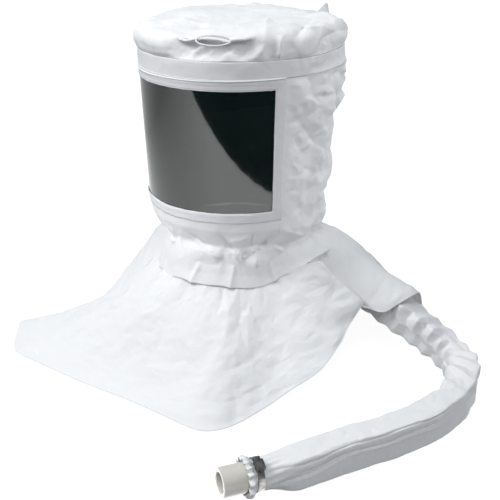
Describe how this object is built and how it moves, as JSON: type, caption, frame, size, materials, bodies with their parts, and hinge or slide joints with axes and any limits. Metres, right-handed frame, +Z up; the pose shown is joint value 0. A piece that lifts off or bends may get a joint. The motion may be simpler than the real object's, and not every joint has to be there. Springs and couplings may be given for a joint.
{
  "type": "powered air respirator hood",
  "caption": "Loose-fitting respirator hood with wrapped smoked visor, shoulder bibs, head harness and a sleeved breathing hose that ends in a cuff for the blower.",
  "frame": {"origin": "centre of the headband, where the head carries the hood", "axes": "+Z up out of the crown of the head, -Y the way the wearer faces, +X to the wearer's left"},
  "size_m": [0.7346, 0.6465, 0.5469],
  "materials": {
    "nonwoven": "matt spunbonded non-woven",
    "binding": "matt folded non-woven",
    "visor": "glossy smoked film",
    "harness_plastic": "fine moulded texture",
    "sweat_pad": "brushed foam-backed knit",
    "webbing": "woven tape",
    "duct_grey": "satin",
    "cuff_ivory": "satin moulded",
    "clamp_steel": "zinc plated"
  },
  "bodies": {
    "hood": {"air_duct": "duct_grey", "back_bib": "nonwoven", "back_panel": "nonwoven", "breathing_hose": "duct_grey", "chin_panel": "nonwoven", "crown_panel": "nonwoven", "crown_strap_cross": "webbing", "crown_strap_fore_aft": "webbing", "duct_outlet": "duct_grey", "end_cuff": "cuff_ivory", "forehead_band": "binding", "front_bib": "nonwoven", "front_hanger": "harness_plastic", "headband": "harness_plastic", "hose_sleeve": "nonwoven", "inlet_spigot": "harness_plastic", "left_hanger": "harness_plastic", "left_hood_tab": "binding", "left_side_panel": "nonwoven", "lower_clamp_band": "clamp_steel", "lower_clamp_housing": "clamp_steel", "neck_elastic": "webbing", "neck_skirt": "nonwoven", "ratchet_cover": "harness_plastic", "ratchet_housing": "harness_plastic", "right_hanger": "harness_plastic", "right_hood_tab": "binding", "right_side_panel": "nonwoven", "sweatband": "sweat_pad", "upper_clamp_band": "clamp_steel", "upper_clamp_housing": "clamp_steel", "visor_lens": "visor", "window_frame": "binding"},
    "knob": {"ratchet_knob": "harness_plastic", "ratchet_pinion": "harness_plastic"},
    "left_rack": {"left_rack_strap": "harness_plastic"},
    "right_rack": {"right_rack_strap": "harness_plastic"},
    "lower_screw": {"lower_clamp_screw": "clamp_steel"},
    "lower_tail": {"lower_clamp_tail": "clamp_steel"},
    "upper_screw": {"upper_clamp_screw": "clamp_steel"},
    "upper_tail": {"upper_clamp_tail": "clamp_steel"}
  },
  "joints": [
    {"name": "knob_turn", "type": "hinge", "parent": "hood", "child": "knob", "pos_m": [0, 0.1037, 0], "axis": [0, 1, 0], "range_deg": [-115, 115]},
    {"name": "left_rack_slide", "type": "slide", "parent": "hood", "child": "left_rack", "axis": [1, 0, 0], "range_m": [-0.0102, 0.0102]},
    {"name": "right_rack_slide", "type": "slide", "parent": "hood", "child": "right_rack", "axis": [-1, 0, 0], "range_m": [-0.0102, 0.0102]},
    {"name": "lower_screw_turn", "type": "hinge", "parent": "hood", "child": "lower_screw", "pos_m": [0.34666, -0.30701, -0.37437], "axis": [-0.7818, 0.3544, 0.5131], "range_deg": [-360, 720]},
    {"name": "lower_tail_slip", "type": "hinge", "parent": "hood", "child": "lower_tail", "pos_m": [0.33423, -0.30137, -0.3972], "axis": [-0.4129, -0.9108, 0], "range_deg": [-3.88, 7.76]},
    {"name": "upper_screw_turn", "type": "hinge", "parent": "hood", "child": "upper_screw", "pos_m": [0.03704, 0.09458, -0.09648], "axis": [-1, 0, -0.0039], "range_deg": [-360, 720]},
    {"name": "upper_tail_slip", "type": "hinge", "parent": "hood", "child": "upper_tail", "pos_m": [0.03704, 0.11928, -0.0958], "axis": [0.0039, 0.0275, -0.9996], "range_deg": [-4.22, 8.45]}
  ],
  "couplings": [
    {"joint": "left_rack_slide", "follows": "knob_turn", "m_per_rad": 0.00501},
    {"joint": "right_rack_slide", "follows": "knob_turn", "m_per_rad": 0.00501},
    {"joint": "lower_screw_turn", "follows": "lower_tail_slip", "ratio": 92.481},
    {"joint": "upper_screw_turn", "follows": "upper_tail_slip", "ratio": 85.019}
  ]
}
